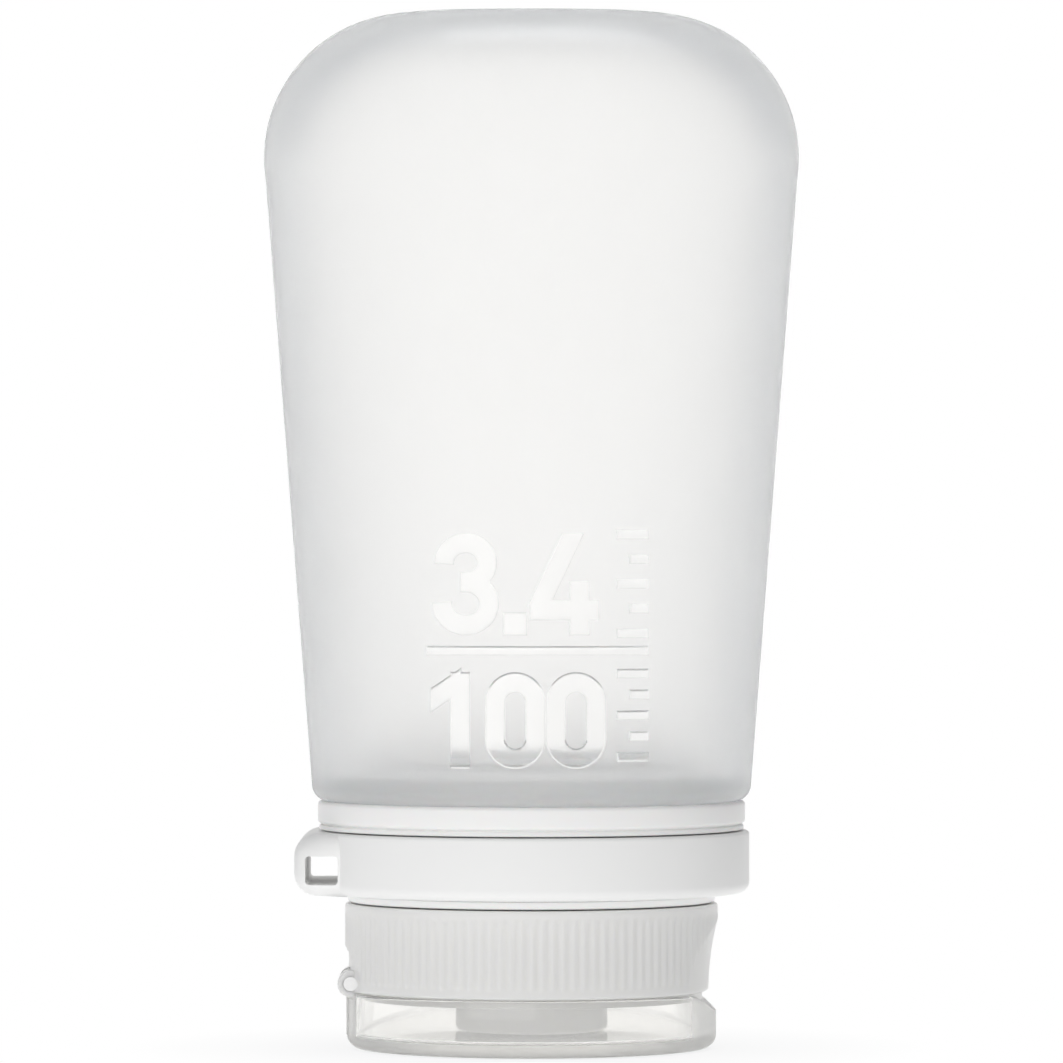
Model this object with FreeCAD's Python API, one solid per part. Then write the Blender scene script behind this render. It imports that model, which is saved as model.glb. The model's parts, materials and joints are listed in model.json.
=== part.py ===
import FreeCAD, Part
import math
import os

# Soft squeeze bottle that stands on its flip cap.
# Millimetres, +Z up. z = 0 is the flat face of the lid that the bottle stands on.
# Seen along +Y, the lid's hinge is at -X, its thumb lip at +X and the cord lug at -X.

Vector = FreeCAD.Vector
UP = Vector(0, 0, 1)
FORWARD = Vector(0, 1, 0)
FULL_TURN = 360
mm3_per_ml = 1000

# Fits
seat_gap = 0.15           # lid rim to cap, when closed
running_gap = 0.25        # a turning piece beside a fixed one
end_gap = 0.15            # a turning ring and the step at its end
pin_gap = 0.05            # lid knuckle round the hinge pin
press_gap = 0.01          # hinge pin in the ears that grip it
insert_gap = 0.2          # a piece dropped into a pocket
cut_overrun = 2.0         # how far a cutting shape runs past what it cuts
same_place = 0.001        # two places closer than this are the same

# Neck
neck_bore_radius = 14.6
neck_wall = 1.8
core_gap = 1.2            # hollow between the mouth tube and the swivel land
land_wall = 1.2
core_roof = 1.15          # plastic left above that hollow
bead_reach = 0.5          # the bead that keeps the loop ring on
bead_height = 0.8
bead_lead = 0.3
lip_height = 0.5          # thin lip under the flange
lip_inset = 0.15
groove_height = 0.15      # groove between the lip and the flange
groove_depth = 0.6
flange_height = 2.35
flange_inset = 0.5        # flange edge inside the silicone's edge
flange_round = 0.4
spigot_step = 0.2
spigot_hook = 0.5         # hook over the clamp ring
spigot_hook_height = 0.6

# Thread of the neck and the cap
thread_pitch = 3.0
thread_depth = 0.95
thread_base = 1.6
thread_tip = 0.8
thread_gap = 0.35
thread_sink = 0.2         # how far a ridge is rooted in its wall
cap_thread_lag_share = 0.25

# Silicone body
body_height = 82.5
body_half_width = 28.1
body_half_depth = 17.6
body_wall = 2.2
body_corner = 15.0        # rounding of the far end, seen from the front
body_base_round = 6.0     # rounding of the far end, seen from the side
body_mouth_round = 1.6
body_lip = 2.6            # inward lip that the neck grips
mouth_exponent = 2.0      # a circle
base_exponent = 2.5       # squarer than an ellipse
section_points = 32
corner_steps = 15
mouth_steps = 4

# Clamp ring inside the silicone
clamp_width = 3.1
clamp_height = 1.3
clamp_wall_gap = 0.8      # clamp ring to the silicone wall
clamp_chamfer = 0.5

# Loop ring
loop_height = 6.5
loop_web = 2.25           # inward web that rides on the neck
loop_web_height = 1.4
loop_band_wall = 1.6
loop_round = 1.2
lug_reach = 1.8
lug_half_length = 11.4
lug_corner = 3.0
lug_round = 2.4
slot_width = 3.4
slot_height = 3.0
slot_wall = 1.2
slot_inner_wall = 1.0

# Cap
cap_height = 10.15
cap_deck = 1.9
cap_wall = 1.6
rebate_height = 1.0       # step that the rim of the lid closes round
rib_count = 112
rib_depth = 0.3
rib_low_margin = 0.9
rib_high_margin = 0.9
plain_bore_height = 2.15  # smooth stretch between the deck and the thread
scallop_depth = 1.0
scallop_margin = 1.6
scallop_radius = 25.5
scallop_half_angle = 50
scallop_bow_share = 0.8   # how much of the depth is reached half-way down
gasket_thickness = 1.1
gasket_overlap = 0.3

# Outlet and valve
boss_radius = 8.0
outlet_radius = 4.2
outlet_lip = 1.0
pocket_radius = 6.3
valve_flange = 0.9
valve_skin = 0.5
valve_dish = 0.6
valve_land = 1.7
slit_length = 5.0
slit_width = 0.12
retainer_height = 2.0
retainer_wall = 1.5

# Lid
lid_inset = 0.2
lid_height = 5.9
lid_floor = 1.5
lid_wall = 1.2
lid_base_round = 1.4
dip_depth = 1.9           # dip in the rim for the thumb
dip_half_width = 9.0
plug_radius = 3.7
plug_wall = 0.8
plug_reach = 0.6          # how far the plug enters the outlet

# Hinge of the lid
knuckle_radius = 1.4
knuckle_half_width = 2.6
ear_width = 2.2
pin_radius = 0.75
hinge_rise = 1.85         # hinge axis above the underside of the cap
pocket_wall = 0.5
recess_wall = 1.5
recess_half_width = 7.7
recess_spring = 3.2       # height where the arch of the recess starts
recess_height = 5.75

# Radii that follow from the sizes above
neck_radius = neck_bore_radius + neck_wall
core_radius = neck_radius + core_gap
land_radius = core_radius + land_wall
bead_radius = land_radius + bead_reach
spigot_radius = neck_radius + spigot_step
clamp_inner_radius = spigot_radius + running_gap
clamp_radius = clamp_inner_radius + clamp_width
body_mouth_radius = clamp_radius + clamp_wall_gap + body_wall
flange_radius = body_mouth_radius - flange_inset
lip_radius = flange_radius - lip_inset
groove_radius = flange_radius - groove_depth
loop_bore_radius = land_radius + running_gap
loop_band_radius = loop_bore_radius + loop_web
loop_radius = loop_band_radius + loop_band_wall
plain_bore_radius = neck_radius + thread_gap
thread_root_radius = neck_radius + thread_depth + thread_gap
cap_valley_radius = thread_root_radius + cap_wall
cap_radius = cap_valley_radius + rib_depth
recess_radius = thread_root_radius + recess_wall
lid_radius = cap_radius - lid_inset
rebate_radius = lid_radius - lid_wall - running_gap
hinge_x = -(plain_bore_radius + pocket_wall + running_gap + knuckle_radius)

# Heights that follow from the sizes above
rebate_high = lid_height + seat_gap
cap_low = rebate_high - rebate_height
deck_top = cap_low + cap_deck
neck_rim = deck_top + gasket_thickness
thread_low = deck_top + plain_bore_height
cap_high = cap_low + cap_height
bead_low = cap_high + end_gap
bead_high = bead_low + bead_height
loop_low = bead_high + end_gap
loop_high = loop_low + loop_height
lip_low = loop_high + end_gap
groove_low = lip_low + lip_height
flange_low = groove_low + groove_height
body_low = flange_low + flange_height
body_high = body_low + body_height
body_lip_high = body_low + body_lip
clamp_high = body_lip_high + clamp_height
hinge_z = cap_low + hinge_rise
boss_low = lid_floor + seat_gap
valve_low = boss_low + outlet_lip
retainer_low = valve_low + valve_flange
thread_start = thread_low + running_gap + thread_base / 2


def turned(points):
    """Solid of revolution about Z through (radius, height) points."""
    corners = [Vector(radius, 0, height) for radius, height in points]
    outline = Part.makePolygon(corners + corners[:1])
    return Part.Face(outline).revolve(Vector(), UP, FULL_TURN)


def disc(radius, low, high):
    """Cylinder on the bottle's axis between two heights."""
    return Part.makeCylinder(radius, high - low, Vector(0, 0, low))


def ring(inner, outer, low, high):
    """Flat ring on the bottle's axis."""
    return disc(outer, low, high).cut(disc(inner, low, high))


def block(x_low, x_high, y_half, z_low, z_high):
    """Box that is symmetric about the plane y = 0."""
    corner = Vector(x_low, -y_half, z_low)
    return Part.makeBox(x_high - x_low, 2 * y_half, z_high - z_low, corner)


def across(radius, y_low, y_high):
    """Cylinder on the hinge axis between two places along Y."""
    return Part.makeCylinder(radius, y_high - y_low, Vector(hinge_x, y_low, hinge_z), FORWARD)


def round_rims(solid, radius, wanted):
    """Fillet the full circles that lie at the wanted (radius, height) places."""
    edges = []
    for edge in solid.Edges:
        if not isinstance(edge.Curve, Part.Circle):
            continue
        for rim_radius, height in wanted:
            off_radius = abs(edge.Curve.Radius - rim_radius)
            off_height = abs(edge.Curve.Center.z - height)
            if max(off_radius, off_height) < same_place:
                edges.append(edge)
    return solid.makeFillet(radius, edges)


def thread_ridge(foot_radius, tip_radius, start_height, turns, start_angle):
    """Right-hand helical ridge from a foot sunk in its wall to its tip."""
    helix = Part.makeHelix(thread_pitch, turns * thread_pitch, foot_radius)
    corners = [
        Vector(foot_radius, 0, -thread_base / 2),
        Vector(tip_radius, 0, -thread_tip / 2),
        Vector(tip_radius, 0, thread_tip / 2),
        Vector(foot_radius, 0, thread_base / 2),
    ]
    profile = Part.makePolygon(corners + corners[:1])
    ridge = Part.Wire(helix).makePipeShell([profile], True, True)
    ridge.translate(Vector(0, 0, start_height))
    ridge.rotate(Vector(), UP, start_angle)
    return ridge


def signed_power(value, power):
    """Power of the size of a number, with the number's sign."""
    return math.copysign(abs(value) ** power, value)


def body_section(half_width, half_depth, exponent, height):
    """Closed superellipse across the body at one height."""
    points = []
    for index in range(section_points):
        angle = 2 * math.pi * index / section_points
        x = half_width * signed_power(math.cos(angle), 2 / exponent)
        y = half_depth * signed_power(math.sin(angle), 2 / exponent)
        points.append(Vector(x, y, height))
    curve = Part.BSplineCurve()
    curve.interpolate(points, PeriodicFlag=True, Parameters=list(range(section_points + 1)))
    return Part.Wire(curve.toShape())


def body_form(inset, low, mouth_round):
    """Outside of the silicone, or its cavity when inset by the wall."""
    corner = body_corner - inset
    base_round = body_base_round - inset
    shoulder = body_half_width - body_corner
    corner_height = body_high - body_corner
    rounding_height = body_high - body_base_round
    slope = math.atan2(body_half_width - body_mouth_radius, corner_height - body_low)

    def taper_share(height):
        return (height - body_low) / (corner_height - body_low)

    def tapered(first, last, height):
        return first + (last - first) * taper_share(height) - inset

    def section(height, half_width, mouth_inset):
        half_depth = tapered(body_mouth_radius, body_half_depth, min(height, rounding_height))
        rise = max(height - rounding_height, 0)
        half_depth -= base_round - math.sqrt(max(base_round ** 2 - rise ** 2, 0))
        exponent = mouth_exponent + (base_exponent - mouth_exponent) * min(taper_share(height), 1)
        return body_section(half_width - mouth_inset, half_depth - mouth_inset, exponent, height)

    sections = []
    for step in range(mouth_steps + 1):
        turn = math.pi / 2 * step / mouth_steps
        height = low + mouth_round * (1 - math.cos(turn))
        half_width = tapered(body_mouth_radius, body_half_width, height)
        sections.append(section(height, half_width, mouth_round * (1 - math.sin(turn))))
    if mouth_round == 0:
        sections = sections[:1]
    for step in range(corner_steps + 1):
        turn = -slope + (math.pi / 2 + slope) * step / corner_steps
        height = corner_height + corner * math.sin(turn)
        sections.append(section(height, shoulder + corner * math.cos(turn), 0))
    return Part.makeLoft(sections, True, True)


def make_bottle_body():
    """Thick silicone shell with an inward lip round its mouth."""
    cavity = body_form(body_wall, body_lip_high, 0)
    mouth = disc(clamp_inner_radius, body_low - cut_overrun, body_lip_high + cut_overrun)
    capacity = cavity.Volume + disc(neck_bore_radius, neck_rim, body_lip_high).Volume
    print("brimful capacity, mL:", round(capacity / mm3_per_ml, 1))
    return body_form(0, body_low, body_mouth_round).cut(cavity).cut(mouth)


def make_neck_collar():
    """Hard neck: mouth tube with its thread, swivel land, flange and spigot."""
    hook_radius = spigot_radius + spigot_hook
    hook_low = clamp_high + running_gap
    hook_high = hook_low + spigot_hook_height
    core_high = lip_low - core_roof
    neck = turned([
        (neck_bore_radius, neck_rim),
        (neck_radius, neck_rim),
        (neck_radius, core_high),
        (core_radius, core_high),
        (core_radius, bead_low),
        (bead_radius - bead_lead, bead_low),
        (bead_radius, bead_low + bead_lead),
        (bead_radius, bead_high),
        (land_radius, bead_high),
        (land_radius, lip_low),
        (lip_radius, lip_low),
        (lip_radius, groove_low),
        (groove_radius, groove_low),
        (groove_radius, flange_low),
        (flange_radius, flange_low),
        (flange_radius, body_low),
        (spigot_radius, body_low),
        (spigot_radius, hook_low),
        (hook_radius, hook_low),
        (spigot_radius, hook_high),
        (neck_bore_radius, hook_high),
    ])
    neck = round_rims(neck, flange_round, [(flange_radius, flange_low), (flange_radius, body_low)])
    turns = (bead_low - thread_start - thread_base) / thread_pitch
    foot = neck_radius - thread_sink
    ridge = thread_ridge(foot, neck_radius + thread_depth, thread_start, turns, 0)
    return neck.fuse(ridge)


def make_body_clamp_ring():
    """Ring that holds the silicone lip down on the flange."""
    return turned([
        (clamp_inner_radius, body_lip_high),
        (clamp_radius, body_lip_high),
        (clamp_radius, clamp_high - clamp_chamfer),
        (clamp_radius - clamp_chamfer, clamp_high),
        (clamp_inner_radius, clamp_high),
    ])


def make_loop_ring():
    """Swivel ring with a lug that a cord passes through along Y."""
    band = ring(loop_band_radius, loop_radius, loop_low, loop_high)
    web = ring(loop_bore_radius, loop_radius, loop_low, loop_low + loop_web_height)
    body = round_rims(band.fuse(web).removeSplitter(), loop_round, [(loop_radius, loop_low)])

    lug_x = -(loop_radius + lug_reach)
    slot_x = lug_x + slot_wall
    lug = block(lug_x, slot_x + slot_width + slot_inner_wall, lug_half_length, loop_low, loop_high)
    uprights = [edge for edge in lug.Edges if edge.BoundBox.ZLength > slot_height]
    outer_uprights = [edge for edge in uprights if edge.BoundBox.XMin < slot_x]
    lug = lug.makeFillet(lug_corner, outer_uprights)
    outer_arcs = [
        edge for edge in lug.Edges
        if edge.BoundBox.ZLength < same_place and edge.BoundBox.XMin < slot_x
    ]
    lug = lug.makeFillet(lug_round, outer_arcs)

    slot_low = loop_low + slot_wall
    slot_reach = lug_half_length + cut_overrun
    slot = block(slot_x, slot_x + slot_width, slot_reach, slot_low, slot_low + slot_height)
    bore = disc(loop_bore_radius, loop_low - cut_overrun, loop_high + cut_overrun)
    return body.fuse(lug).cut(bore).cut(slot).removeSplitter()


def ribbed_band(low, high):
    """Prism whose outline has one crest and one valley for each rib."""
    corners = []
    for index in range(2 * rib_count):
        angle = math.pi * index / rib_count
        radius = cap_radius if index % 2 == 0 else cap_valley_radius
        corners.append(Vector(radius * math.cos(angle), radius * math.sin(angle), low))
    outline = Part.makePolygon(corners + corners[:1])
    return Part.Face(outline).extrude(UP * (high - low))


def thumb_scallop():
    """Shape cut from the +X side of the cap, deepest at its lower edge."""
    high = cap_high - scallop_margin
    floor_x = cap_radius - scallop_depth
    bow_x = cap_radius - scallop_depth * scallop_bow_share
    outside = cap_radius + cut_overrun
    below = cap_low - cut_overrun
    start = Vector(cap_radius, 0, high)
    end = Vector(floor_x, 0, cap_low)
    corners = [
        end,
        Vector(floor_x, 0, below),
        Vector(outside, 0, below),
        Vector(outside, 0, high),
        start,
    ]
    bow = Part.Arc(start, Vector(bow_x, 0, (cap_low + high) / 2), end).toShape()
    profile = Part.Face(Part.Wire([bow] + Part.makePolygon(corners).Edges))
    centre = Vector(floor_x - scallop_radius, 0, 0)
    profile.rotate(centre, UP, -scallop_half_angle)
    return profile.revolve(centre, UP, 2 * scallop_half_angle)


def hinge_recess():
    """Arched recess in the -X side of the cap, down to one radius."""
    spring = cap_low + recess_spring
    crown = cap_low + recess_height
    low = cap_low - cut_overrun
    x = -(cap_radius + cut_overrun)
    left = Vector(x, -recess_half_width, spring)
    right = Vector(x, recess_half_width, spring)
    edges = [
        Part.makeLine(Vector(x, -recess_half_width, low), left),
        Part.Arc(left, Vector(x, 0, crown), right).toShape(),
        Part.makeLine(right, Vector(x, recess_half_width, low)),
        Part.makeLine(Vector(x, recess_half_width, low), Vector(x, -recess_half_width, low)),
    ]
    arch = Part.Face(Part.Wire(edges)).extrude(Vector(cap_radius, 0, 0))
    return arch.cut(disc(recess_radius, low, crown + cut_overrun))


def make_screw_cap():
    """Ribbed cap with thread, deck, outlet boss, scallop, rebate and hinge ears."""
    rib_low = rebate_high + rib_low_margin
    rib_high = cap_high - rib_high_margin
    cap = ribbed_band(rib_low, rib_high)
    cap = cap.fuse(disc(cap_valley_radius, cap_low, rib_low))
    cap = cap.fuse(disc(cap_radius, rib_high, cap_high))
    cap = cap.cut(disc(plain_bore_radius, deck_top, cap_high))
    cap = cap.cut(disc(thread_root_radius, thread_low, cap_high))
    cap = cap.cut(thumb_scallop())
    cap = cap.cut(hinge_recess())
    cap = cap.cut(ring(rebate_radius, cap_radius + cut_overrun, cap_low, rebate_high))

    ear_inner = knuckle_half_width + running_gap
    ear_outer = ear_inner + ear_width
    for side in (-1, 1):
        near, far = sorted((side * ear_inner, side * ear_outer))
        cap = cap.fuse(across(knuckle_radius, near, far))
    pocket = across(knuckle_radius + running_gap, -ear_inner, ear_inner)
    slot_back = hinge_x + knuckle_radius + running_gap
    outside = -(cap_radius + cut_overrun)
    slot = block(outside, slot_back, ear_inner, cap_low - cut_overrun, hinge_z)
    cap = cap.cut(pocket).cut(slot)
    pin_hole = across(pin_radius + press_gap, -ear_outer - cut_overrun, ear_outer + cut_overrun)
    wall_behind = disc(plain_bore_radius, cap_low, cap_high)
    cap = cap.cut(pin_hole.cut(wall_behind))

    boss = disc(boss_radius, boss_low, cap_low)
    cap = cap.fuse(boss)
    cap = cap.cut(disc(pocket_radius, valve_low, deck_top))
    cap = cap.cut(disc(outlet_radius, boss_low, valve_low))

    lag = thread_pitch * cap_thread_lag_share
    start = thread_start + thread_pitch / 2 - lag
    turns = (cap_high - running_gap - start - thread_base / 2) / thread_pitch
    foot = thread_root_radius + thread_sink
    ridge = thread_ridge(foot, plain_bore_radius, start, turns, -FULL_TURN * cap_thread_lag_share)
    return cap.fuse(ridge).removeSplitter()


def make_cap_gasket():
    """Flat sealing ring between the cap's deck and the neck's rim."""
    inner = neck_bore_radius - gasket_overlap
    return ring(inner, plain_bore_radius - running_gap, deck_top, neck_rim)


def make_slit_valve():
    """Silicone disc with a dished, cross-slit centre."""
    rim = pocket_radius - insert_gap
    web = outlet_radius + insert_gap
    land = web - valve_land
    top = retainer_low
    dish_high = top + valve_dish
    dish_low = dish_high - valve_skin
    valve = turned([
        (0, dish_low),
        (land, dish_low),
        (web, valve_low),
        (rim, valve_low),
        (rim, top),
        (web, top),
        (land, dish_high),
        (0, dish_high),
    ])
    half = slit_length / 2
    half_width = slit_width / 2
    valve = valve.cut(block(-half, half, half_width, valve_low, dish_high + cut_overrun))
    return valve.cut(block(-half_width, half_width, half, valve_low, dish_high + cut_overrun))


def make_valve_retainer():
    """Ring that keeps the valve down on its seat."""
    outer = pocket_radius - insert_gap
    return ring(outer - retainer_wall, outer, retainer_low, retainer_low + retainer_height)


def make_flip_lid():
    """Shallow lid with a sealing plug, a thumb dip and a hinge knuckle."""
    lid = round_rims(disc(lid_radius, 0, lid_height), lid_base_round, [(lid_radius, 0)])
    lid = lid.cut(disc(lid_radius - lid_wall, lid_floor, lid_height))
    plug_high = boss_low + plug_reach
    lid = lid.fuse(ring(plug_radius - plug_wall, plug_radius, lid_floor, plug_high))

    dip_radius = (dip_half_width ** 2 + dip_depth ** 2) / (2 * dip_depth)
    dip_centre = Vector(0, 0, lid_height - dip_depth + dip_radius)
    lid = lid.cut(Part.makeCylinder(dip_radius, lid_radius + cut_overrun, dip_centre, Vector(1, 0, 0)))

    ear_room = knuckle_half_width + ear_width + 2 * running_gap
    lid = lid.cut(across(knuckle_radius + running_gap, -ear_room, ear_room))
    knuckle = across(knuckle_radius, -knuckle_half_width, knuckle_half_width)
    tongue_inner = -(lid_radius - lid_wall)
    tongue = block(-lid_radius, tongue_inner, knuckle_half_width, lid_floor, hinge_z)
    lid = lid.fuse(knuckle).fuse(tongue)
    reach = knuckle_half_width + cut_overrun
    return lid.cut(across(pin_radius + pin_gap, -reach, reach)).removeSplitter()


def make_hinge_pin():
    """Straight pin through the ears and the lid's knuckle."""
    half_length = knuckle_half_width + running_gap + ear_width
    return across(pin_radius, -half_length, half_length)


makers = {
    "bottle_body": make_bottle_body,
    "neck_collar": make_neck_collar,
    "body_clamp_ring": make_body_clamp_ring,
    "loop_ring": make_loop_ring,
    "screw_cap": make_screw_cap,
    "cap_gasket": make_cap_gasket,
    "slit_valve": make_slit_valve,
    "valve_retainer": make_valve_retainer,
    "flip_lid": make_flip_lid,
    "hinge_pin": make_hinge_pin,
}

os.makedirs("parts", exist_ok=True)
for node, make in makers.items():
    solid = make()
    solid.exportStep(f"parts/{node}.step")
    print(node, "solids", len(solid.Solids), "valid", solid.isValid(), "mm3", round(solid.Volume, 1))
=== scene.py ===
# %% [markdown]
# # A soft travel bottle that stands on its flip cap
# The frame comes from the CAD model: every solid in its place, with the bodies that move.
# This lesson dresses that frame. Each visible solid is replaced by a smoother mesh with a real
# finish, and the few pieces that hide inside keep their CAD mesh and only get a finish.

# %% Load the frame
import json
import math

import bmesh
import bpy
from mathutils import Matrix, Vector

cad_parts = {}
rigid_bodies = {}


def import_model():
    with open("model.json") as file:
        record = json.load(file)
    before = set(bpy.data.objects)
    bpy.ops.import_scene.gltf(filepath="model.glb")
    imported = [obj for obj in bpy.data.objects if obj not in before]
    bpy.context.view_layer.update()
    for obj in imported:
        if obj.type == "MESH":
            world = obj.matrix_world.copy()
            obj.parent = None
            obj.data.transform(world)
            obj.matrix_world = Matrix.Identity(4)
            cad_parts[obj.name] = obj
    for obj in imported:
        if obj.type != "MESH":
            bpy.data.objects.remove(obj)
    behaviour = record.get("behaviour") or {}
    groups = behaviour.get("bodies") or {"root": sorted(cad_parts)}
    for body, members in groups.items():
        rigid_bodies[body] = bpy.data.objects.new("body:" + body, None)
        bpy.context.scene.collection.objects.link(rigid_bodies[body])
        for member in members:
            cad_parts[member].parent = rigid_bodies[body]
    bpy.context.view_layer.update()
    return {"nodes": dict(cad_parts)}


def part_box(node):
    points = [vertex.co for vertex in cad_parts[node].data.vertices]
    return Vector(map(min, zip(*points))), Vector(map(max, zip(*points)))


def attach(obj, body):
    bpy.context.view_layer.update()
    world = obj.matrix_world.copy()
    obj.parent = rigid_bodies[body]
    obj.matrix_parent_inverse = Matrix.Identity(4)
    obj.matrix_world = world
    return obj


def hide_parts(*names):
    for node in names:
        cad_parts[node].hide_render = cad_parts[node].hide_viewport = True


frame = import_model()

mm = 0.001

# %% [markdown]
# ## The camera
# The bottle was photographed from straight in front, level with its middle, through a long lens:
# the rings on its neck show almost as straight lines. A camera close by would bend them, so this one
# stands far back with a narrow angle. The frame is a little wider than the bottle is tall.

# %% Camera
frame_width = 111.8 * mm
camera_distance = 795 * mm
middle_height = 54.2 * mm

lens = bpy.data.cameras.new("camera")
lens.sensor_width = 36
lens.lens = lens.sensor_width * camera_distance / frame_width
camera = bpy.data.objects.new("camera", lens)
camera.location = (0, -camera_distance, middle_height)
camera.rotation_euler = (math.radians(90), 0, 0)
bpy.context.scene.collection.objects.link(camera)
bpy.context.scene.camera = camera
bpy.context.scene.view_settings.view_transform = "Standard"
print("focal length, mm:", round(lens.lens, 1))

# %% [markdown]
# Light wanders a long way inside thick silicone before it comes out again. Each time it meets a face
# counts as a bounce, and a path that is cut short too early leaves thick places too dark, so the
# paths may be longer here than usual.

# %% Length of the light paths
paths = bpy.context.scene.cycles
paths.max_bounces = 32
paths.transmission_bounces = 32
paths.diffuse_bounces = 8
paths.glossy_bounces = 8
print("bounces of a light path:", paths.max_bounces)

# %% [markdown]
# ## The room
# A clear or frosted thing has no look of its own: it shows the room behind it, bent and blurred.
# White all round would make the bottle vanish, so the room is white behind the bottle and behind
# the camera, bright as a lit floor below, pale above, and grey at the sides. The rim of the bottle
# bends the view sideways and picks that grey up, which draws its outline. Matt plastic would turn too
# pale between two white walls, so for the light that falls on matt surfaces the sides are darker
# still, and the ceiling is no paler than they. The camera itself always sees white.

# %% World
wall_edge = 0.6           # sine of the angle where a white wall starts
wall_middle = 0.99        # and where it is fully white
ceiling_share = 0.75      # how much of a white wall the ceiling is
left_grey = (0.5, 0.522, 0.552, 1)
right_grey = (0.48, 0.502, 0.532, 1)
left_shade = (0.28, 0.284, 0.29, 1)
right_shade = (0.1, 0.103, 0.107, 1)
wall_white = (1.05, 1.04, 1.02, 1)
floor_seen = (1.24, 1.235, 1.22, 1)  # the lit floor, as it shows in clear and shiny pieces
white = (1, 1, 1, 1)


def link_math(tree, operation, first, second):
    """Math node fed by a link and by a link or a number."""
    node = tree.nodes.new("ShaderNodeMath")
    node.operation = operation
    tree.links.new(first, node.inputs[0])
    if isinstance(second, (int, float)):
        node.inputs[1].default_value = second
    else:
        tree.links.new(second, node.inputs[1])
    return node.outputs[0]


def link_colours(tree, share, first, second):
    """Mix of two colours, where each is a colour or a link."""
    node = tree.nodes.new("ShaderNodeMix")
    node.data_type = "RGBA"
    tree.links.new(share, node.inputs["Factor"])
    for name, value in (("A", first), ("B", second)):
        if isinstance(value, tuple):
            node.inputs[name].default_value = value
        else:
            tree.links.new(value, node.inputs[name])
    return node.outputs["Result"]


world = bpy.data.worlds.new("room")
world.use_nodes = True
bpy.context.scene.world = world
tree = world.node_tree
rays = tree.nodes.new("ShaderNodeLightPath")
direction = tree.nodes.new("ShaderNodeTexCoord")
split = tree.nodes.new("ShaderNodeSeparateXYZ")
tree.links.new(direction.outputs["Generated"], split.inputs[0])
rightward = link_math(tree, "MULTIPLY_ADD", split.outputs["X"], 0.5)
rightward.node.inputs[2].default_value = 0.5
clear_sides = link_colours(tree, rightward, left_grey, right_grey)
matt_sides = link_colours(tree, rightward, left_shade, right_shade)
sides = link_colours(tree, rays.outputs["Is Diffuse Ray"], clear_sides, matt_sides)
wall_ramp = tree.nodes.new("ShaderNodeMapRange")
wall_ramp.interpolation_type = "SMOOTHSTEP"
wall_ramp.inputs["From Min"].default_value = wall_edge
wall_ramp.inputs["From Max"].default_value = wall_middle
facing = link_math(tree, "ABSOLUTE", split.outputs["Y"], 0)
upward = link_math(tree, "MULTIPLY", split.outputs["Z"], ceiling_share)
upward = link_math(tree, "SUBTRACT", upward, rays.outputs["Is Diffuse Ray"])
facing = link_math(tree, "MAXIMUM", facing, upward)
tree.links.new(facing, wall_ramp.inputs["Value"])
room = link_colours(tree, wall_ramp.outputs["Result"], sides, wall_white)
below = link_math(tree, "LESS_THAN", split.outputs["Z"], 0)
room = link_colours(tree, below, room, floor_seen)
seen_room = link_colours(tree, rays.outputs["Is Camera Ray"], room, white)
tree.links.new(seen_room, tree.nodes["Background"].inputs["Color"])
print("grey of the sides:", left_grey[:3], right_grey[:3])

# %% [markdown]
# ## The floor
# The bottle stands on its lid, so the lid opens to below the floor, and a solid floor would cut it off
# in that pose. So the camera looks through the floor at the white room, from above and from below, and
# all that it sees of the floor is a soft shadow where the bottle is close. Clear and shiny pieces look
# through it too, at the room's lower half, which has the shade of a lit floor. For the light on matt
# surfaces the floor is there: it glows a little, and it takes light like paint.

# %% Floor
floor_half = 3.0
floor_paint, floor_rough, floor_shine = (0.75, 0.75, 0.75, 1), 0.9, 0.1
floor_fill = 0.55         # for the light that the floor throws back
floor_gap = 0.1 * mm      # keeps the clear lid's underside off the floor
shadow_grey = (0.86, 0.86, 0.865, 1)
shadow_reach = 25 * mm    # how far the bottle's shadow spreads

mesh = bmesh.new()
bmesh.ops.create_grid(mesh, x_segments=1, y_segments=1, size=floor_half)
data = bpy.data.meshes.new("floor")
mesh.to_mesh(data)
mesh.free()
floor = bpy.data.objects.new("floor", data)
floor.location.z = -floor_gap
bpy.context.scene.collection.objects.link(floor)

floor_white = bpy.data.materials.new("floor_white")
floor_white.use_nodes = True
tree = floor_white.node_tree
shader = tree.nodes["Principled BSDF"]
shader.inputs["Base Color"].default_value = floor_paint
shader.inputs["Roughness"].default_value = floor_rough
shader.inputs["Specular IOR Level"].default_value = floor_shine
shader.inputs["Emission Color"].default_value = white
shader.inputs["Emission Strength"].default_value = floor_fill
rays = tree.nodes.new("ShaderNodeLightPath")
side = tree.nodes.new("ShaderNodeNewGeometry")
through = side.outputs["Backfacing"]
for kind in ("Is Camera Ray", "Is Glossy Ray", "Is Transmission Ray"):
    through = link_math(tree, "MAXIMUM", through, rays.outputs[kind])
open_sky = tree.nodes.new("ShaderNodeAmbientOcclusion")
open_sky.inputs["Distance"].default_value = shadow_reach
clear = tree.nodes.new("ShaderNodeBsdfTransparent")
shadow = link_colours(tree, open_sky.outputs["AO"], shadow_grey, white)
shadow = link_colours(tree, rays.outputs["Is Camera Ray"], white, shadow)
tree.links.new(shadow, clear.inputs["Color"])
mix = tree.nodes.new("ShaderNodeMixShader")
tree.links.new(through, mix.inputs["Fac"])
tree.links.new(shader.outputs[0], mix.inputs[1])
tree.links.new(clear.outputs[0], mix.inputs[2])
tree.links.new(mix.outputs[0], tree.nodes["Material Output"].inputs["Surface"])
floor.data.materials.append(floor_white)
print("floor across, m:", 2 * floor_half)

# %% [markdown]
# ## The lamps
# One large lamp stands at the front left: the right-hand sides of the white rings are darker, which
# tells where it was. Seen from behind it would dazzle through the silicone, so clear pieces don't show
# it. A weaker lamp hangs above.

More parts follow.
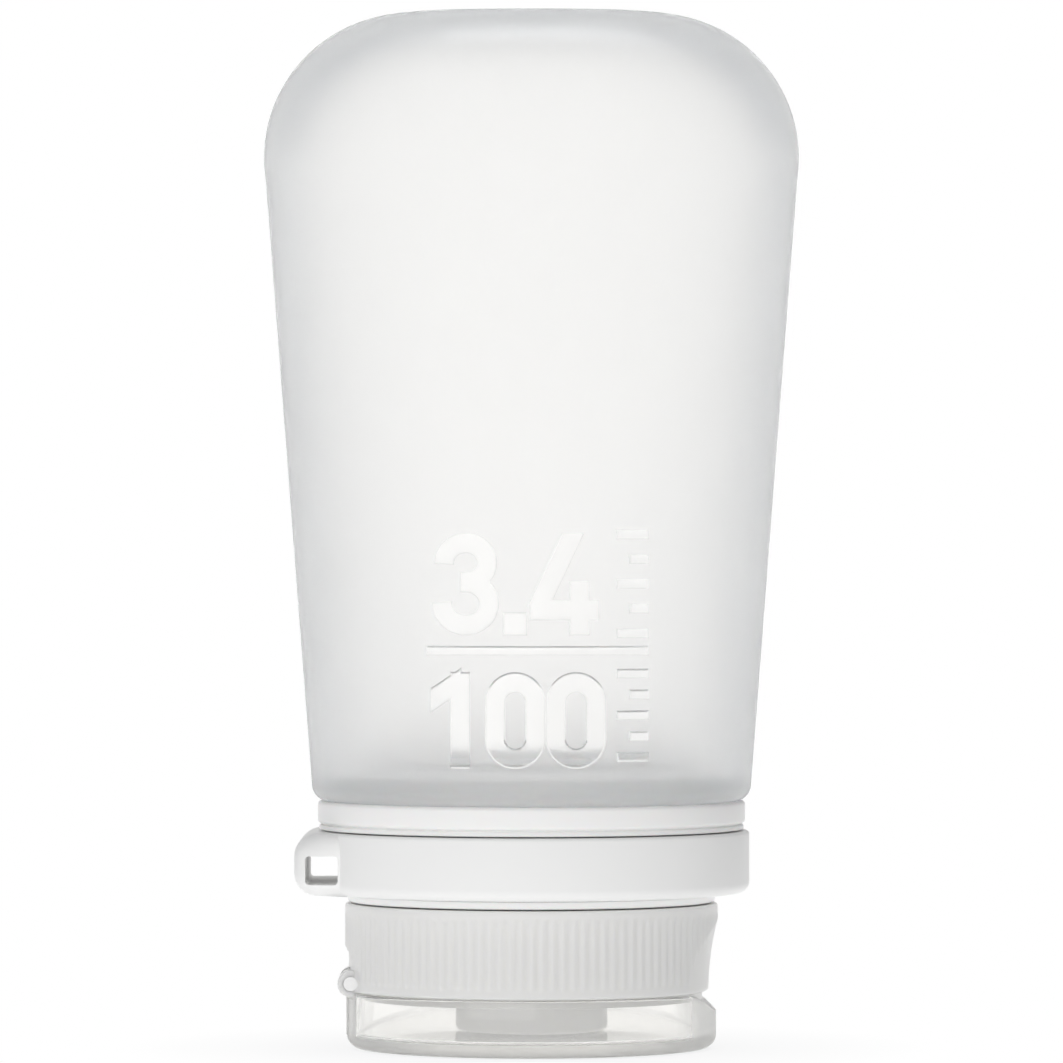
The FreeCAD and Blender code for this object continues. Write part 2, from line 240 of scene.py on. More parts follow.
# %% Lamps
key_place, key_size, key_power = (-0.3, -0.88, 0.35), 0.8, 2.2
top_place, top_size, top_power = (0.05, 0.1, 0.9), 0.6, 1.0


def lamp(name, place, size, power):
    """Square soft lamp that points at the middle of the bottle."""
    light = bpy.data.lights.new(name, "AREA")
    light.size = size
    light.energy = power
    stand = bpy.data.objects.new(name, light)
    stand.location = place
    aim = Vector((0, 0, middle_height)) - stand.location
    stand.rotation_euler = aim.to_track_quat("-Z", "Y").to_euler()
    bpy.context.scene.collection.objects.link(stand)
    return stand


key_lamp = lamp("key_lamp", key_place, key_size, key_power)
key_lamp.visible_transmission = False
lamp("top_lamp", top_place, top_size, top_power)

# %% [markdown]
# ## From an outline to a piece
# Most of this bottle is turned: rings, collars, a cap and a lid, all round one axis. Blender's Spin
# or Screw would do, but they leave doubles where the ends meet. Here an outline of corners, each
# with its own rounding, is walked round the axis, so seams and poles are closed from the start.

# %% Outlines and turning
tiny = 1e-9               # a radius below this is on the axis


def rounded(corners, steps=5):
    """Outline through (radius, height, rounding) corners."""
    outline = []
    for index, (radius, height, rounding) in enumerate(corners):
        here = Vector((radius, height))
        if rounding == 0:
            outline.append(here)
            continue
        to_last = (Vector(corners[index - 1][:2]) - here).normalized()
        to_next = (Vector(corners[(index + 1) % len(corners)][:2]) - here).normalized()
        half = to_last.angle(to_next) / 2
        centre = here + (to_last + to_next).normalized() * rounding / math.sin(half)
        start = here + to_last * rounding / math.tan(half) - centre
        end = here + to_next * rounding / math.tan(half) - centre
        first = math.atan2(start.y, start.x)
        sweep = (math.atan2(end.y, end.x) - first + math.pi) % math.tau - math.pi
        for step in range(steps + 1):
            turn = first + sweep * step / steps
            outline.append(centre + Vector((math.cos(turn), math.sin(turn))) * rounding)
    return outline


def bridge(mesh, rows, closed):
    """Faces between rows of points, where a row of one point is a pole."""
    around = max(len(row) for row in rows)
    pairs = list(zip(rows, rows[1:] + rows[:1]))
    for lower, upper in pairs if closed else pairs[:-1]:
        for index in range(around):
            after = index + 1
            corners = [lower[index % len(lower)], lower[after % len(lower)]]
            corners += [upper[after % len(upper)], upper[index % len(upper)]]
            corners = list(dict.fromkeys(corners))
            if len(corners) > 2:
                mesh.faces.new(corners)


def as_piece(name, mesh):
    """Object with this mesh, its faces pointing outwards."""
    bmesh.ops.recalc_face_normals(mesh, faces=mesh.faces)
    data = bpy.data.meshes.new(name)
    mesh.to_mesh(data)
    mesh.free()
    piece = bpy.data.objects.new(name, data)
    bpy.context.scene.collection.objects.link(piece)
    return piece


def turned(name, outline, segments):
    """Closed mesh of an outline walked round the bottle's axis."""
    mesh = bmesh.new()
    rows = []
    for radius, height in outline:
        turns = range(1 if radius < tiny else segments)
        angles = [math.tau * turn / segments for turn in turns]
        rows.append([
            mesh.verts.new((radius * math.cos(angle), radius * math.sin(angle), height))
            for angle in angles
        ])
    bridge(mesh, rows, closed=True)
    return as_piece(name, mesh)


print("points of one rounded corner:", len(rounded([(1, 0, 0), (2, 0, 0.5), (2, 1, 0)])) - 2)

# %% [markdown]
# Holes and lugs are cut or joined with Boolean modifiers. A finished piece is shaded smooth, with its
# real edges kept sharp, and then set on the body it rides on, and the CAD solid it replaces is hidden.

# %% Carving and dressing
smooth_angle = math.radians(32)


def settle(piece):
    """Put what the modifiers made into the piece's own mesh."""
    depsgraph = bpy.context.evaluated_depsgraph_get()
    data = bpy.data.meshes.new_from_object(piece.evaluated_get(depsgraph))
    piece.modifiers.clear()
    piece.data = data


def carve(piece, tool, operation="DIFFERENCE"):
    """Cut a tool out of a piece, or join it on, and drop the tool."""
    modifier = piece.modifiers.new("carve", "BOOLEAN")
    modifier.solver = "MANIFOLD"
    modifier.operation = operation
    modifier.object = tool
    settle(piece)
    bpy.data.objects.remove(tool)


def paint(piece, material):
    """Give the whole piece one finish."""
    piece.data.materials.clear()
    piece.data.materials.append(material)
    for face in piece.data.polygons:
        face.material_index = 0


def dress(piece, body, node):
    """Shade a finished piece and hand it to the frame."""
    piece.data.shade_smooth()
    piece.data.set_sharp_from_angle(angle=smooth_angle)
    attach(piece, body)
    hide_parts(node)
    print(piece.name, "faces:", len(piece.data.polygons))


print("sharp above, degrees:", round(math.degrees(smooth_angle)))

# %% [markdown]
# ## Finishes that share their grain
# Every piece here is moulded, so each surface carries the fine skin of its mould: grain that is far
# smaller than a millimetre, and gloss that drifts slowly from place to place. That effect is one
# node group with its own inputs, placed in each material with its own values. A picture texture
# would need unwrapping and would show its pixels in a close view.

# %% Mould skin group
def socket(group, name, kind, in_out, value=None):
    """Add one named socket to a node group."""
    made = group.interface.new_socket(name, in_out=in_out, socket_type=kind)
    if value is not None:
        made.default_value = value


mould_skin = bpy.data.node_groups.new("mould_skin", "ShaderNodeTree")
socket(mould_skin, "Grain Scale", "NodeSocketFloat", "INPUT", 3000)
socket(mould_skin, "Drift Scale", "NodeSocketFloat", "INPUT", 60)
socket(mould_skin, "Roughness", "NodeSocketFloat", "INPUT", 0.4)
socket(mould_skin, "Roughness Drift", "NodeSocketFloat", "INPUT", 0.1)
socket(mould_skin, "Colour", "NodeSocketColor", "INPUT", (1, 1, 1, 1))
socket(mould_skin, "Cloud Colour", "NodeSocketColor", "INPUT", (1, 1, 1, 1))
socket(mould_skin, "Colour", "NodeSocketColor", "OUTPUT")
socket(mould_skin, "Roughness", "NodeSocketFloat", "OUTPUT")
socket(mould_skin, "Height", "NodeSocketFloat", "OUTPUT")

nodes, links = mould_skin.nodes, mould_skin.links
entry = nodes.new("NodeGroupInput")
leave = nodes.new("NodeGroupOutput")
place = nodes.new("ShaderNodeTexCoord")
grain = nodes.new("ShaderNodeTexNoise")
grain.inputs["Detail"].default_value = 3
drift = nodes.new("ShaderNodeTexNoise")
drift.inputs["Detail"].default_value = 2
for texture, scale in ((grain, "Grain Scale"), (drift, "Drift Scale")):
    links.new(place.outputs["Object"], texture.inputs["Vector"])
    links.new(entry.outputs[scale], texture.inputs["Scale"])
centred = link_math(mould_skin, "SUBTRACT", drift.outputs["Fac"], 0.5)
rough = link_math(mould_skin, "MULTIPLY_ADD", centred, entry.outputs["Roughness Drift"])
links.new(entry.outputs["Roughness"], rough.node.inputs[2])
colours = entry.outputs["Colour"], entry.outputs["Cloud Colour"]
links.new(link_colours(mould_skin, drift.outputs["Fac"], *colours), leave.inputs["Colour"])
links.new(rough, leave.inputs["Roughness"])
links.new(grain.outputs["Fac"], leave.inputs["Height"])
print("group:", mould_skin.name)

# %% [markdown]
# A finish is then one Principled BSDF. What is the same all over the piece is typed on its own
# sockets. What changes over the surface comes from the group: colour, roughness and a small bump.

# %% Finish maker
def finish(name, colour, cloud, rough, drift, grain, bump, dims=None, **fixed):
    """Moulded finish: colours, roughness, grain size and bump height in metres.
    dims is how strongly each metre of a clear piece takes away red, green and blue."""
    material = bpy.data.materials.new(name)
    material.use_nodes = True
    tree = material.node_tree
    shader = tree.nodes["Principled BSDF"]
    for name_of_socket, value in fixed.items():
        shader.inputs[name_of_socket.replace("_", " ")].default_value = value
    skin = tree.nodes.new("ShaderNodeGroup")
    skin.node_tree = mould_skin
    skin.inputs["Colour"].default_value = (*colour, 1)
    skin.inputs["Cloud Colour"].default_value = (*cloud, 1)
    skin.inputs["Roughness"].default_value = rough
    skin.inputs["Roughness Drift"].default_value = drift
    skin.inputs["Grain Scale"].default_value = 1 / grain
    raised = tree.nodes.new("ShaderNodeBump")
    raised.inputs["Distance"].default_value = bump
    tree.links.new(skin.outputs["Colour"], shader.inputs["Base Color"])
    tree.links.new(skin.outputs["Roughness"], shader.inputs["Roughness"])
    tree.links.new(skin.outputs["Height"], raised.inputs["Height"])
    tree.links.new(raised.outputs["Normal"], shader.inputs["Normal"])
    if dims:
        haze = tree.nodes.new("ShaderNodeVolumeAbsorption")
        haze.inputs["Density"].default_value = max(dims)
        haze.inputs["Color"].default_value = (*(1 - part / max(dims) for part in dims), 1)
        tree.links.new(haze.outputs[0], tree.nodes["Material Output"].inputs["Volume"])
    material.diffuse_color = (*colour, 1)
    return material


frosted = finish(
    "frosted_silicone", colour=(0.99, 0.988, 0.985), cloud=(0.982, 0.98, 0.977),
    rough=0.58, drift=0.05, grain=0.25 * mm, bump=0.01 * mm, dims=(2.4, 1.8, 1.2),
    IOR=1.41, Transmission_Weight=0.9, Specular_IOR_Level=0.35,
)
milky = finish(
    "milky_neck_plastic", colour=(0.975, 0.973, 0.968), cloud=(0.96, 0.958, 0.953),
    rough=0.36, drift=0.1, grain=0.2 * mm, bump=0.004 * mm,
    IOR=1.49, Specular_IOR_Level=0.08, Subsurface_Weight=0.1, Subsurface_Scale=0.8 * mm,
)
white_plastic = finish(
    "white_ring_plastic", colour=(0.95, 0.95, 0.945), cloud=(0.93, 0.93, 0.926),
    rough=0.38, drift=0.12, grain=0.2 * mm, bump=0.005 * mm,
    IOR=1.46, Specular_IOR_Level=0.08,
)
natural = finish(
    "natural_cap_plastic", colour=(0.88, 0.877, 0.866), cloud=(0.865, 0.862, 0.852),
    rough=0.34, drift=0.1, grain=0.3 * mm, bump=0.004 * mm,
    IOR=1.49, Specular_IOR_Level=0.2, Transmission_Weight=0.1, Subsurface_Weight=0.9,
    Subsurface_Scale=1.2 * mm, Subsurface_Radius=(1, 1, 0.95),
)
clear_plastic = finish(
    "clear_lid_plastic", colour=(0.99, 0.988, 0.98), cloud=(0.98, 0.978, 0.97),
    rough=0.45, drift=0.06, grain=0.5 * mm, bump=0.002 * mm, dims=(4, 4.2, 4.8),
    IOR=1.49, Transmission_Weight=0.9,
)
print("finishes:", [made.name for made in (frosted, milky, white_plastic, natural, clear_plastic)])

# %% [markdown]
# The silicone is frosted outside and polished inside and nearly so on its numbers, and the lid is
# polished but for its foot, thumb place and hinge. That could be two materials each, but then light
# would enter a wall through one and leave through the other, and the haze inside the wall belongs to
# one material only. So such a finish reads a number stored on each face, 1 where it is frosted and 0
# where it is polished. The natural plastic of the cap reads a number as well: round its outlet, where
# little light reaches it inside the lid, it is painted whiter as painted light.

# %% Frosted and polished places
polished_rough = 0.06
# painted light: a whiter colour for the cap's faces round its outlet, which get little light inside the lid
outlet_painted_light_white = (0.985, 0.982, 0.972, 1)


def node_of_kind(tree, kind):
    """First node of a kind in a tree."""
    return next(node for node in tree.nodes if node.bl_idname == kind)


def face_mark(tree, name):
    """Number that is stored on each face under a name."""
    node = tree.nodes.new("ShaderNodeAttribute")
    node.attribute_name = name
    return node.outputs["Fac"]


def mark_faces(piece, name, values):
    """Store one number for each face under a name."""
    piece.data.attributes.new(name, "FLOAT", "FACE").data.foreach_set("value", values)


def frost_where_marked(material):
    """Let the number stored on each face say how frosted it is."""
    tree = material.node_tree
    skin = node_of_kind(tree, "ShaderNodeGroup")
    frosting = face_mark(tree, "frosting")
    gloss = tree.nodes.new("ShaderNodeMix")
    gloss.inputs["A"].default_value = polished_rough
    tree.links.new(frosting, gloss.inputs["Factor"])
    tree.links.new(skin.outputs["Roughness"], gloss.inputs["B"])
    tree.links.new(gloss.outputs["Result"], tree.nodes["Principled BSDF"].inputs["Roughness"])
    level = link_math(tree, "MULTIPLY", skin.outputs["Height"], frosting)
    tree.links.new(level, node_of_kind(tree, "ShaderNodeBump").inputs["Height"])


def paint_light_where_marked(material, colour):
    """Let the number stored on each face mix in a whiter colour, as painted light."""
    tree = material.node_tree
    skin = node_of_kind(tree, "ShaderNodeGroup")
    whiter = link_colours(tree, face_mark(tree, "painted_light"), skin.outputs["Colour"], colour)
    tree.links.new(whiter, tree.nodes["Principled BSDF"].inputs["Base Color"])


frost_where_marked(frosted)
frost_where_marked(clear_plastic)
# the cap is painted whiter round its outlet: painted light, not a change in the plastic
paint_light_where_marked(natural, outlet_painted_light_white)
print("roughness where polished:", polished_rough)

# %% [markdown]
# ## Numbers as fields
# Geometry Nodes work on fields: numbers that differ from point to point. A rule such as
# "radius minus rib depth times a wave" becomes a chain of Math nodes. Written by hand that is long,
# so this small class lets a plain sum in Python add the nodes.

# %% Field class and tree helpers
class Field:
    """A number that varies over a surface, worked out by Math nodes."""

    def __init__(self, tree, output):
        self.tree = tree
        self.output = output

    def math(self, operation, *others):
        """Math node with this field first and the others after it."""
        node = self.tree.nodes.new("ShaderNodeMath")
        node.operation = operation
        for entry, value in zip(node.inputs, (self, *others)):
            if isinstance(value, Field):
                self.tree.links.new(value.output, entry)
            else:
                entry.default_value = value
        return Field(self.tree, node.outputs[0])

    def __add__(self, other):
        return self.math("ADD", other)

    def __sub__(self, other):
        return self.math("SUBTRACT", other)

    def __mul__(self, other):
        return self.math("MULTIPLY", other)

    def __truediv__(self, other):
        return self.math("DIVIDE", other)

    def low(self, other):
        return self.math("MINIMUM", other)

    def high(self, other):
        return self.math("MAXIMUM", other)

    def clamped(self):
        return self.high(0).low(1)

    def root(self):
        return self.high(0).math("SQRT")

    def signed_power(self, power):
        """Power of its size, with its own sign."""
        return self.math("ABSOLUTE").math("POWER", power) * self.math("SIGN")


def start_tree(name, sizes):
    """Geometry tree with one named input for each size."""
    tree = bpy.data.node_groups.new(name, "GeometryNodeTree")
    socket(tree, "Geometry", "NodeSocketGeometry", "INPUT")
    for title in sizes:
        socket(tree, title, "NodeSocketFloat", "INPUT")
    socket(tree, "Material", "NodeSocketMaterial", "INPUT")
    socket(tree, "Geometry", "NodeSocketGeometry", "OUTPUT")
    entry = tree.nodes.new("NodeGroupInput")
    position = tree.nodes.new("GeometryNodeInputPosition")
    parts = tree.nodes.new("ShaderNodeSeparateXYZ")
    tree.links.new(position.outputs[0], parts.inputs[0])
    fields = {title: Field(tree, entry.outputs[title]) for title in sizes}
    x, y, z = [Field(tree, output) for output in parts.outputs]
    return tree, fields, x, y, z


def stored(tree, name):
    """Number that was stored on the points under a name."""
    node = tree.nodes.new("GeometryNodeInputNamedAttribute")
    node.data_type = "FLOAT"
    node.inputs["Name"].default_value = name
    return Field(tree, node.outputs["Attribute"])


def end_tree(tree, x, y, z):
    """Move every point to x, y, z, then realize and give the material."""
    entry = node_of_kind(tree, "NodeGroupInput")
    join = tree.nodes.new("ShaderNodeCombineXYZ")
    for part, field in zip(join.inputs, (x, y, z)):
        tree.links.new(field.output, part)
    move = tree.nodes.new("GeometryNodeSetPosition")
    real = tree.nodes.new("GeometryNodeRealizeInstances")
    cover = tree.nodes.new("GeometryNodeSetMaterial")
    leave = tree.nodes.new("NodeGroupOutput")
    tree.links.new(entry.outputs["Geometry"], move.inputs["Geometry"])
    tree.links.new(join.outputs[0], move.inputs["Position"])
    tree.links.new(move.outputs[0], real.inputs[0])
    tree.links.new(real.outputs[0], cover.inputs["Geometry"])
    tree.links.new(entry.outputs["Material"], cover.inputs["Material"])
    tree.links.new(cover.outputs[0], leave.inputs["Geometry"])


def run_tree(piece, tree, sizes, material):
    """Run a tree on a piece with these sizes and keep the result."""
    modifier = piece.modifiers.new(tree.name, "NODES")
    modifier.node_group = tree
    values = {**sizes, "Material": material}
    for item in tree.interface.items_tree:
        if item.in_out == "INPUT" and item.name in values:
            modifier[item.identifier] = values[item.name]
    settle(piece)
    print(tree.name, "nodes:", len(tree.nodes))


def mark_rows(piece, name, outline, values, segments):
    """Store one number for each row of a turned piece on its points."""
    spread = []
    for (radius, _), value in zip(outline, values):
        spread += [value] * (1 if radius < tiny else segments)
    piece.data.attributes.new(name, "FLOAT", "POINT").data.foreach_set("value", spread)


print("field rules ready")

# %% [markdown]
# ## The silicone body
# The body is one thick moulding. Its mouth is round and its far end is a flat, squarish oval, so each
# height has its own outline. It could be lofted by hand from a few drawn ovals. Here it is turned
# round first, with the width that the front shows, and then one rule flattens each height: the depth
# shrinks towards the far end and the corners grow squarer. Both faces of the wall are made, because
# the look of frosted silicone comes from its thickness.

# %% Turned start of the body
press = 0.05 * mm         # soft silicone is pressed this far into what it touches
body_low, body_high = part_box("bottle_body")
mouth_height, base_height = body_low.z, body_high.z
half_width = 28.1 * mm
half_depth = 17.6 * mm
mouth_radius = 22.95 * mm
wall = 2.2 * mm
corner = 15 * mm
base_round = 6 * mm
mouth_round = 1.6 * mm
lip_height = 2.6 * mm
spigot = 16.6 * mm
base_squareness = 2.5
body_segments, mouth_steps = 256, 8

shoulder = half_width - corner
corner_height = base_height - corner
taper_height = corner_height - mouth_height
taper = (half_width - mouth_radius) / taper_height
slope = math.atan(taper)


def wall_rows(inset, low, straight=44, bend=26, end=6):
    """(half width, height) up one face of the wall to the middle of its flat end."""
    arc = corner - inset
    top = corner_height - arc * math.sin(slope)
    rows = []
    for step in range(straight):
        height = low + (top - low) * step / straight
        rows.append((mouth_radius + taper * (height - mouth_height) - inset, height))
    for step in range(bend + 1):
        turn = -slope + (math.pi / 2 + slope) * step / bend
        rows.append((shoulder + arc * math.cos(turn), corner_height + arc * math.sin(turn)))
    rows += [(shoulder * (1 - step / end), corner_height + arc) for step in range(1, end + 1)]
    return rows


mouth_rows = []
for step in range(mouth_steps):
    turn = math.pi / 2 * step / mouth_steps
    height = mouth_height - press + mouth_round * (1 - math.cos(turn))
    inset = mouth_round * (1 - math.sin(turn))
    mouth_rows.append((mouth_radius + taper * (height - mouth_height) - inset, height))
lip_top = mouth_height + lip_height + press
outer_rows = mouth_rows + wall_rows(0, mouth_height - press + mouth_round)
lip_radius = spigot - press
lip_rows = [(lip_radius, mouth_height - press), (lip_radius, lip_top)]
inner_rows = wall_rows(wall, lip_top)
outline = outer_rows[::-1] + lip_rows + inner_rows

bottle = turned("bottle", outline, body_segments)
for name, outside, lip, inside in (("wall_inset", 0, 0, wall), ("oval", 1, 0, 1), ("polish", 0, 1, 1)):
    values = [outside] * len(outer_rows) + [lip] * len(lip_rows) + [inside] * len(inner_rows)
    mark_rows(bottle, name, outline, values, body_segments)
print("rows of the body:", len(outline))

# %% The rule that flattens the body
body_sizes = {
    "Mouth Height": mouth_height,
    "Corner Height": corner_height,
    "Base Height": base_height,
    "Mouth Radius": mouth_radius,
    "Half Width": half_width,
    "Half Depth": half_depth,
    "Corner": corner,
    "Base Round": base_round,
    "Base Squareness": base_squareness,
}
tree, size, x, y, z = start_tree("flatten_body", body_sizes)
inset = stored(tree, "wall_inset")
oval = stored(tree, "oval")
mouth = size["Mouth Radius"]
share = (z - size["Mouth Height"]) / (size["Corner Height"] - size["Mouth Height"])
arc = size["Corner"] - inset
past = (z - size["Corner Height"]).high(0)
width_low = mouth + (size["Half Width"] - mouth) * share.low(1) - inset
width_drop = arc - (arc * arc - past * past).root()
width = width_low - width_drop
round_height = size["Base Height"] - size["Base Round"]
round_share = (z.low(round_height) - size["Mouth Height"]) / (size["Corner Height"] - size["Mouth Height"])
bend = size["Base Round"] - inset
rise = (z - round_height).high(0)
depth_low = mouth + (size["Half Depth"] - mouth) * round_share - inset
depth = depth_low - (bend - (bend * bend - rise * rise).root())
squash = (depth / width - 1) * oval + 1
exponent = (size["Base Squareness"] - 2) * share.low(1) * oval + 2
power = exponent.math("POWER", -1) * 2
radius = (x * x + y * y).root()
along = (x / radius.high(tiny)).signed_power(power)
across = (y / radius.high(tiny)).signed_power(power)
end_tree(tree, radius * along, radius * squash * across, z)
run_tree(bottle, tree, body_sizes, frosted)
print("depth at the far end, mm:", round(2 * max(v.co.y for v in bottle.data.vertices) / mm, 2))

# %% [markdown]
# ## Clear numbers in the frosted front
# The mould was polished where the numbers stand, so they are windows in the frosting, a hair proud
# of the skin round them. A mask in the material could do it, but real shapes stay crisp at any
# distance. Each stroke is a strip that lies on the curved front. Strokes that cross are kept in two
# sets, because a shape that is to be joined on may not run through itself. Only plain numbers and
# scale ticks are made.

# %% Strokes of the numbers
stroke = 1.72 * mm
number_rise = 0.18 * mm
number_frosting = 0.2     # nearly polished
tool_clearance = 0.15 * mm  # how deep a stroke reaches under the skin
strip_offsets = (-1, -0.33, 0.33, 1)


def front(x, height):
    """Where the front of the body is, at a place across and up."""
    share = (height - mouth_height) / taper_height
    a = mouth_radius + (half_width - mouth_radius) * share
    b = mouth_radius + (half_depth - mouth_radius) * share
    n = 2 + (base_squareness - 2) * share
    return -b * (1 - abs(x / a) ** n) ** (1 / n)


def arc_points(x, height, half_across, half_up, first, last, steps=28):
    """Points along part of an oval, from one angle to another in degrees."""
    points = []
    for step in range(steps + 1):
        turn = math.radians(first + (last - first) * step / steps)
        points.append((x + half_across * math.cos(turn), height + half_up * math.sin(turn)))
    return points


def line_points(first, last, steps=12):
    """Evenly spaced points of a straight stroke."""
    start, end = Vector(first), Vector(last)
    return [tuple(start.lerp(end, step / steps)) for step in range(steps + 1)]


def add_stroke(mesh, points, width, closed=False, ends=None):
    """Closed strip that follows the front, with sides that slope like the mould's.
    Its ends are square to it, or lie along a given direction."""
    flare = number_rise + tool_clearance
    count = len(points)
    rows = []
    for index, (x, height) in enumerate(points):
        last = points[index - 1] if index or closed else points[index]
        after = points[(index + 1) % count] if index + 1 < count or closed else points[index]
        along = (Vector(after) - Vector(last)).normalized()
        side = Vector((-along.y, along.x))
        if ends:
            side = Vector(ends) / side.dot(Vector(ends))
        end = 0 if closed else (index == count - 1) - (index == 0)
        row = []
        for offsets, wider, depth in ((strip_offsets, 0, -number_rise),
                                      (strip_offsets[::-1], flare, tool_clearance)):
            for offset in offsets:
                place = Vector((x, height)) + side * offset * (width / 2 + wider) + along * end * wider
                row.append(mesh.verts.new((place.x, front(*place) + depth, place.y)))
        rows.append(row)
    bridge(mesh, rows, closed)
    if not closed:
        for row in (rows[0], rows[-1]):
            for a, b in ((0, 7), (1, 6), (2, 5)):
                mesh.faces.new((row[a], row[a + 1], row[b - 1], row[b]))


print("stroke of the numbers, mm:", round(stroke / mm, 2))

# %% Upper number
big_low, big_high = 43.75 * mm, 53.9 * mm
half_stroke = stroke / 2
three_x, three_bar = -6.75 * mm, 0.4 * mm
upper_width, lower_width = 2.2 * mm, 2.4 * mm
point_x, point_width, point_high = -1.68 * mm, 2.1 * mm, 2 * mm
four_left, four_right, four_bar = 0.0 * mm, 6.75 * mm, 46.15 * mm
four_stem, stem_high = 4.9 * mm, 5.2 * mm
four_top, four_foot = (4.2 * mm, big_high), (0.75 * mm, four_bar + 0.4 * mm)

bowl_heights = (big_high - big_low - stroke) / 2
upper_height = bowl_heights * upper_width / (upper_width + lower_width)
lower_height = bowl_heights - upper_height
three_middle = big_low + half_stroke + 2 * lower_height
first_strokes = bmesh.new()
second_strokes = bmesh.new()
bar_end = (three_x - three_bar, three_middle)
upper = arc_points(three_x, three_middle + upper_height, upper_width, upper_height, 180, -90)
lower = arc_points(three_x, three_middle - lower_height, lower_width, lower_height, 90, -180)
add_stroke(first_strokes, upper + [bar_end], stroke)
add_stroke(second_strokes, [bar_end] + lower, stroke)
add_stroke(first_strokes, line_points((point_x, big_low), (point_x, big_low + point_high), 4), point_width)
add_stroke(first_strokes, line_points(four_top, four_foot), stroke, ends=(1, 0))
add_stroke(first_strokes, line_points((four_stem, big_low), (four_stem, big_low + stem_high)), stroke)
add_stroke(second_strokes, line_points((four_left, four_bar), (four_right, four_bar)), stroke)
print("height of the upper number, mm:", round((big_high - big_low) / mm, 2))

# %% Line and lower number
line_left, line_right, line_height, thin_stroke = -10.6 * mm, 11.85 * mm, 42 * mm, 0.6 * mm
small_low, small_high = 30.1 * mm, 39.65 * mm
one_x = -7.3 * mm
flag_top, flag_end = (one_x, small_high - 0.7 * mm), (-10.25 * mm, 36.95 * mm)
zero_places, zero_radius = (-1.67 * mm, 4.55 * mm), 2.06 * mm

add_stroke(first_strokes, line_points((line_left, line_height), (line_right, line_height), 40), thin_stroke)
add_stroke(first_strokes, line_points((one_x, small_low), (one_x, small_high)), stroke)
add_stroke(second_strokes, line_points(flag_top, flag_end), stroke, ends=(0, 1))
top = small_high - half_stroke - zero_radius
foot = small_low + half_stroke + zero_radius
for zero_x in zero_places:
    right, left = zero_x + zero_radius, zero_x - zero_radius
    loop = arc_points(zero_x, top, zero_radius, zero_radius, 0, 180)
    loop += line_points((left, top), (left, foot))[1:-1]
    loop += arc_points(zero_x, foot, zero_radius, zero_radius, 180, 360)
    loop += line_points((right, foot), (right, top))[1:-1]
    add_stroke(first_strokes, loop, stroke, closed=True)
print("height of the lower number, mm:", round((small_high - small_low) / mm, 2))

# %% Scale ticks
tick_left, tick_right, tick_shorter, tick_count = 8.9 * mm, 11.85 * mm, 1.3 * mm, 5
for low, high in ((big_low, big_high), (small_low + 1 * mm, small_high)):
    for step in range(tick_count):
        height = low + (high - low) * step / (tick_count - 1)
        start = tick_left + tick_shorter * (step % 2)
        add_stroke(first_strokes, line_points((start, height), (tick_right, height)), thin_stroke)
print("ticks beside each number:", tick_count)

# %% [markdown]
# A Boolean keeps the material of each face, so spare materials carry the marks through it: one for the
# polished inside and one for the numbers. Afterwards each face gets its share of frosting, and the
# spares go.

# %% Raise the numbers
polished_spare = bpy.data.materials.new("polished_spare")
number_spare = bpy.data.materials.new("number_spare")
bottle.data.materials.append(polished_spare)
bottle.data.materials.append(number_spare)
polish = bottle.data.attributes["polish"].data
for face in bottle.data.polygons:
    face.material_index = int(any(polish[index].value > 0 for index in face.vertices))
for name, strokes in (("first_strokes", first_strokes), ("second_strokes", second_strokes)):
    tool = as_piece(name, strokes)
    for material in (frosted, polished_spare, number_spare):
        tool.data.materials.append(material)
    for face in tool.data.polygons:
        face.material_index = 2
    carve(bottle, tool, "UNION")
frosting_of = (1, 0, number_frosting)
frosting = [frosting_of[face.material_index] for face in bottle.data.polygons]
mark_faces(bottle, "frosting", frosting)
paint(bottle, frosted)
bpy.data.materials.remove(polished_spare)
bpy.data.materials.remove(number_spare)
dress(bottle, "bottle", "bottle_body")
print("frosted faces:", frosting.count(1), "of", len(frosting))

# %% [markdown]
# ## Threads
# The cap screws on, and its thread shows faintly through the wall. A ridge is a four-sided outline
# swept up a helix. Blender's Screw modifier would do that too, but it can't fade the ridge out at its
# ends, as a moulded thread does.

# %% Thread maker
pitch = 3 * mm
ridge_foot, ridge_tip = 1.6 * mm, 0.8 * mm
thread_sink = 0.2 * mm    # how far a ridge's foot is sunk into its wall
fade_turn, fade_start = 0.06, 0.01


def lofted(name, rows):
    """Solid through rows of places, flat at both ends."""
    mesh = bmesh.new()
    rings = [[mesh.verts.new(place) for place in row] for row in rows]
    bridge(mesh, rings, closed=False)
    mesh.faces.new(rings[0])
    mesh.faces.new(rings[-1])
    return as_piece(name, mesh)


def thread(name, foot, tip, start, turns, first_angle, per_turn=120):
    """Right-hand ridge from a foot radius in its wall to its tip radius."""
    rows = []
    steps = round(turns * per_turn)
    for step in range(steps + 1):
        turn = turns * step / steps
        angle = math.radians(first_angle) + math.tau * turn
        fade = min(1, (turn + fade_start) / fade_turn, (turns - turn + fade_start) / fade_turn)
        crest = foot + (tip - foot) * fade
        row = []
        for radius, rise in ((foot, -ridge_foot / 2), (crest, -ridge_tip / 2),
                             (crest, ridge_tip / 2), (foot, ridge_foot / 2)):
            height = start + pitch * turn + rise
            row.append((radius * math.cos(angle), radius * math.sin(angle), height))
        rows.append(row)
    return lofted(name, rows)


print("thread pitch, mm:", pitch / mm)

# %% [markdown]
# ## The hard neck
# The milky collar under the silicone is the rim of the hard neck. From the side it is a stack of
# rings: a flange with soft edges, a thin lip under a groove, the land that the white ring turns on,
# and the bead that keeps that ring from dropping off.

